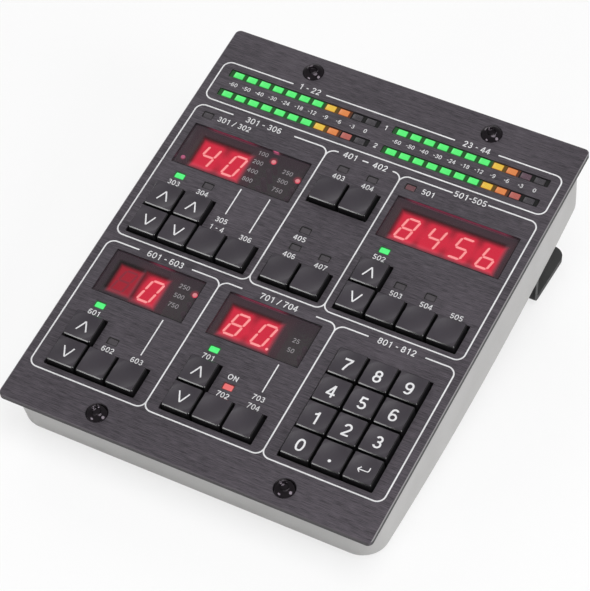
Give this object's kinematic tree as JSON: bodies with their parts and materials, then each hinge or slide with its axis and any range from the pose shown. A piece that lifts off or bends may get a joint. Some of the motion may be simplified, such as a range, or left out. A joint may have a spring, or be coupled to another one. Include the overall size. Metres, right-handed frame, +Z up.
{
  "type": "desktop digital delay controller",
  "caption": "Sloped desktop delay controller: dark plate with sprung keys, level meters and red digit displays on a light grey tray, with a bent steel stand behind.",
  "frame": {"origin": "centre of the footprint, at the level of the desk it stands on", "axes": "+Z up from the desk, +Y to the back of the controller, where the plate is highest, +X to the right as its user sees it"},
  "size_m": [0.135, 0.1658, 0.051],
  "materials": {
    "plate_finish": "satin, finely brushed along X",
    "tray_plastic": "fine moulded grain",
    "black_screw": "black oxide",
    "brass_insert": "turned",
    "switch_plastic": "moulded",
    "display_module": "red filled segments in a grey face",
    "red_lamp": "clear red",
    "meter_plastic": "moulded",
    "meter_lens": "tinted translucent",
    "lamp_lens": "tinted translucent",
    "board_laminate": "solder mask",
    "plated_steel": "plated",
    "chip_plastic": "moulded",
    "stand_paint": "powder coated",
    "foot_rubber": "matt",
    "smoked_window": "smoked, polished",
    "key_plastic": "fine moulded grain"
  },
  "bodies": {
    "base": {"board_screws": "plated_steel", "board_standoffs": "plated_steel", "control_chips": "chip_plastic", "dot_leds": "red_lamp", "four_digit_display": "display_module", "front_feet": "foot_rubber", "housing": "tray_plastic", "indicator_lamps": "lamp_lens", "key_switches": "switch_plastic", "main_board": "board_laminate", "meter_carriers": "meter_plastic", "meter_lenses": "meter_lens", "plate_screws": "black_screw", "screw_inserts": "brass_insert", "stand_bracket": "stand_paint", "stand_pads": "foot_rubber", "stand_screws": "black_screw", "top_plate": "plate_finish", "two_digit_displays": "display_module", "usb_socket": "plated_steel", "window_feedback": "smoked_window", "window_modulation": "smoked_window", "window_preset": "smoked_window", "window_time": "smoked_window"},
    "key_bypass": {"key_bypass": "key_plastic"},
    "key_depth_down": {"key_depth_down": "key_plastic"},
    "key_depth_up": {"key_depth_up": "key_plastic"},
    "key_digit_0": {"key_digit_0": "key_plastic"},
    "key_digit_1": {"key_digit_1": "key_plastic"},
    "key_digit_2": {"key_digit_2": "key_plastic"},
    "key_digit_3": {"key_digit_3": "key_plastic"},
    "key_digit_4": {"key_digit_4": "key_plastic"},
    "key_digit_5": {"key_digit_5": "key_plastic"},
    "key_digit_6": {"key_digit_6": "key_plastic"},
    "key_digit_7": {"key_digit_7": "key_plastic"},
    "key_digit_8": {"key_digit_8": "key_plastic"},
    "key_digit_9": {"key_digit_9": "key_plastic"},
    "key_direct": {"key_direct": "key_plastic"},
    "key_dynamic": {"key_dynamic": "key_plastic"},
    "key_enter": {"key_enter": "key_plastic"},
    "key_feedback_down": {"key_feedback_down": "key_plastic"},
    "key_feedback_select": {"key_feedback_select": "key_plastic"},
    "key_feedback_up": {"key_feedback_up": "key_plastic"},
    "key_invert": {"key_invert": "key_plastic"},
    "key_learn": {"key_learn": "key_plastic"},
    "key_pan": {"key_pan": "key_plastic"},
    "key_point": {"key_point": "key_plastic"},
    "key_preset_down": {"key_preset_down": "key_plastic"},
    "key_preset_up": {"key_preset_up": "key_plastic"},
    "key_reverse": {"key_reverse": "key_plastic"},
    "key_source_select": {"key_source_select": "key_plastic"},
    "key_special": {"key_special": "key_plastic"},
    "key_speed_down": {"key_speed_down": "key_plastic"},
    "key_speed_up": {"key_speed_up": "key_plastic"},
    "key_sync": {"key_sync": "key_plastic"},
    "key_time_down": {"key_time_down": "key_plastic"},
    "key_time_modulation": {"key_time_modulation": "key_plastic"},
    "key_time_up": {"key_time_up": "key_plastic"},
    "key_waveform": {"key_waveform": "key_plastic"}
  },
  "joints": [
    {"name": "press_bypass", "type": "slide", "parent": "base", "child": "key_bypass", "axis": [0, -0.1788, 0.9839], "range_m": [-0.001, 0], "stiffness_N_per_m": 250, "springref_m": 0.003},
    {"name": "press_depth_down", "type": "slide", "parent": "base", "child": "key_depth_down", "axis": [0, -0.1788, 0.9839], "range_m": [-0.001, 0], "stiffness_N_per_m": 250, "springref_m": 0.003},
    {"name": "press_depth_up", "type": "slide", "parent": "base", "child": "key_depth_up", "axis": [0, -0.1788, 0.9839], "range_m": [-0.001, 0], "stiffness_N_per_m": 250, "springref_m": 0.003},
    {"name": "press_digit_0", "type": "slide", "parent": "base", "child": "key_digit_0", "axis": [0, -0.1788, 0.9839], "range_m": [-0.001, 0], "stiffness_N_per_m": 250, "springref_m": 0.003},
    {"name": "press_digit_1", "type": "slide", "parent": "base", "child": "key_digit_1", "axis": [0, -0.1788, 0.9839], "range_m": [-0.001, 0], "stiffness_N_per_m": 250, "springref_m": 0.003},
    {"name": "press_digit_2", "type": "slide", "parent": "base", "child": "key_digit_2", "axis": [0, -0.1788, 0.9839], "range_m": [-0.001, 0], "stiffness_N_per_m": 250, "springref_m": 0.003},
    {"name": "press_digit_3", "type": "slide", "parent": "base", "child": "key_digit_3", "axis": [0, -0.1788, 0.9839], "range_m": [-0.001, 0], "stiffness_N_per_m": 250, "springref_m": 0.003},
    {"name": "press_digit_4", "type": "slide", "parent": "base", "child": "key_digit_4", "axis": [0, -0.1788, 0.9839], "range_m": [-0.001, 0], "stiffness_N_per_m": 250, "springref_m": 0.003},
    {"name": "press_digit_5", "type": "slide", "parent": "base", "child": "key_digit_5", "axis": [0, -0.1788, 0.9839], "range_m": [-0.001, 0], "stiffness_N_per_m": 250, "springref_m": 0.003},
    {"name": "press_digit_6", "type": "slide", "parent": "base", "child": "key_digit_6", "axis": [0, -0.1788, 0.9839], "range_m": [-0.001, 0], "stiffness_N_per_m": 250, "springref_m": 0.003},
    {"name": "press_digit_7", "type": "slide", "parent": "base", "child": "key_digit_7", "axis": [0, -0.1788, 0.9839], "range_m": [-0.001, 0], "stiffness_N_per_m": 250, "springref_m": 0.003},
    {"name": "press_digit_8", "type": "slide", "parent": "base", "child": "key_digit_8", "axis": [0, -0.1788, 0.9839], "range_m": [-0.001, 0], "stiffness_N_per_m": 250, "springref_m": 0.003},
    {"name": "press_digit_9", "type": "slide", "parent": "base", "child": "key_digit_9", "axis": [0, -0.1788, 0.9839], "range_m": [-0.001, 0], "stiffness_N_per_m": 250, "springref_m": 0.003},
    {"name": "press_direct", "type": "slide", "parent": "base", "child": "key_direct", "axis": [0, -0.1788, 0.9839], "range_m": [-0.001, 0], "stiffness_N_per_m": 250, "springref_m": 0.003},
    {"name": "press_dynamic", "type": "slide", "parent": "base", "child": "key_dynamic", "axis": [0, -0.1788, 0.9839], "range_m": [-0.001, 0], "stiffness_N_per_m": 250, "springref_m": 0.003},
    {"name": "press_enter", "type": "slide", "parent": "base", "child": "key_enter", "axis": [0, -0.1788, 0.9839], "range_m": [-0.001, 0], "stiffness_N_per_m": 250, "springref_m": 0.003},
    {"name": "press_feedback_down", "type": "slide", "parent": "base", "child": "key_feedback_down", "axis": [0, -0.1788, 0.9839], "range_m": [-0.001, 0], "stiffness_N_per_m": 250, "springref_m": 0.003},
    {"name": "press_feedback_select", "type": "slide", "parent": "base", "child": "key_feedback_select", "axis": [0, -0.1788, 0.9839], "range_m": [-0.001, 0], "stiffness_N_per_m": 250, "springref_m": 0.003},
    {"name": "press_feedback_up", "type": "slide", "parent": "base", "child": "key_feedback_up", "axis": [0, -0.1788, 0.9839], "range_m": [-0.001, 0], "stiffness_N_per_m": 250, "springref_m": 0.003},
    {"name": "press_invert", "type": "slide", "parent": "base", "child": "key_invert", "axis": [0, -0.1788, 0.9839], "range_m": [-0.001, 0], "stiffness_N_per_m": 250, "springref_m": 0.003},
    {"name": "press_learn", "type": "slide", "parent": "base", "child": "key_learn", "axis": [0, -0.1788, 0.9839], "range_m": [-0.001, 0], "stiffness_N_per_m": 250, "springref_m": 0.003},
    {"name": "press_pan", "type": "slide", "parent": "base", "child": "key_pan", "axis": [0, -0.1788, 0.9839], "range_m": [-0.001, 0], "stiffness_N_per_m": 250, "springref_m": 0.003},
    {"name": "press_point", "type": "slide", "parent": "base", "child": "key_point", "axis": [0, -0.1788, 0.9839], "range_m": [-0.001, 0], "stiffness_N_per_m": 250, "springref_m": 0.003},
    {"name": "press_preset_down", "type": "slide", "parent": "base", "child": "key_preset_down", "axis": [0, -0.1788, 0.9839], "range_m": [-0.001, 0], "stiffness_N_per_m": 250, "springref_m": 0.003},
    {"name": "press_preset_up", "type": "slide", "parent": "base", "child": "key_preset_up", "axis": [0, -0.1788, 0.9839], "range_m": [-0.001, 0], "stiffness_N_per_m": 250, "springref_m": 0.003},
    {"name": "press_reverse", "type": "slide", "parent": "base", "child": "key_reverse", "axis": [0, -0.1788, 0.9839], "range_m": [-0.001, 0], "stiffness_N_per_m": 250, "springref_m": 0.003},
    {"name": "press_source_select", "type": "slide", "parent": "base", "child": "key_source_select", "axis": [0, -0.1788, 0.9839], "range_m": [-0.001, 0], "stiffness_N_per_m": 250, "springref_m": 0.003},
    {"name": "press_special", "type": "slide", "parent": "base", "child": "key_special", "axis": [0, -0.1788, 0.9839], "range_m": [-0.001, 0], "stiffness_N_per_m": 250, "springref_m": 0.003},
    {"name": "press_speed_down", "type": "slide", "parent": "base", "child": "key_speed_down", "axis": [0, -0.1788, 0.9839], "range_m": [-0.001, 0], "stiffness_N_per_m": 250, "springref_m": 0.003},
    {"name": "press_speed_up", "type": "slide", "parent": "base", "child": "key_speed_up", "axis": [0, -0.1788, 0.9839], "range_m": [-0.001, 0], "stiffness_N_per_m": 250, "springref_m": 0.003},
    {"name": "press_sync", "type": "slide", "parent": "base", "child": "key_sync", "axis": [0, -0.1788, 0.9839], "range_m": [-0.001, 0], "stiffness_N_per_m": 250, "springref_m": 0.003},
    {"name": "press_time_down", "type": "slide", "parent": "base", "child": "key_time_down", "axis": [0, -0.1788, 0.9839], "range_m": [-0.001, 0], "stiffness_N_per_m": 250, "springref_m": 0.003},
    {"name": "press_time_modulation", "type": "slide", "parent": "base", "child": "key_time_modulation", "axis": [0, -0.1788, 0.9839], "range_m": [-0.001, 0], "stiffness_N_per_m": 250, "springref_m": 0.003},
    {"name": "press_time_up", "type": "slide", "parent": "base", "child": "key_time_up", "axis": [0, -0.1788, 0.9839], "range_m": [-0.001, 0], "stiffness_N_per_m": 250, "springref_m": 0.003},
    {"name": "press_waveform", "type": "slide", "parent": "base", "child": "key_waveform", "axis": [0, -0.1788, 0.9839], "range_m": [-0.001, 0], "stiffness_N_per_m": 250, "springref_m": 0.003}
  ]
}
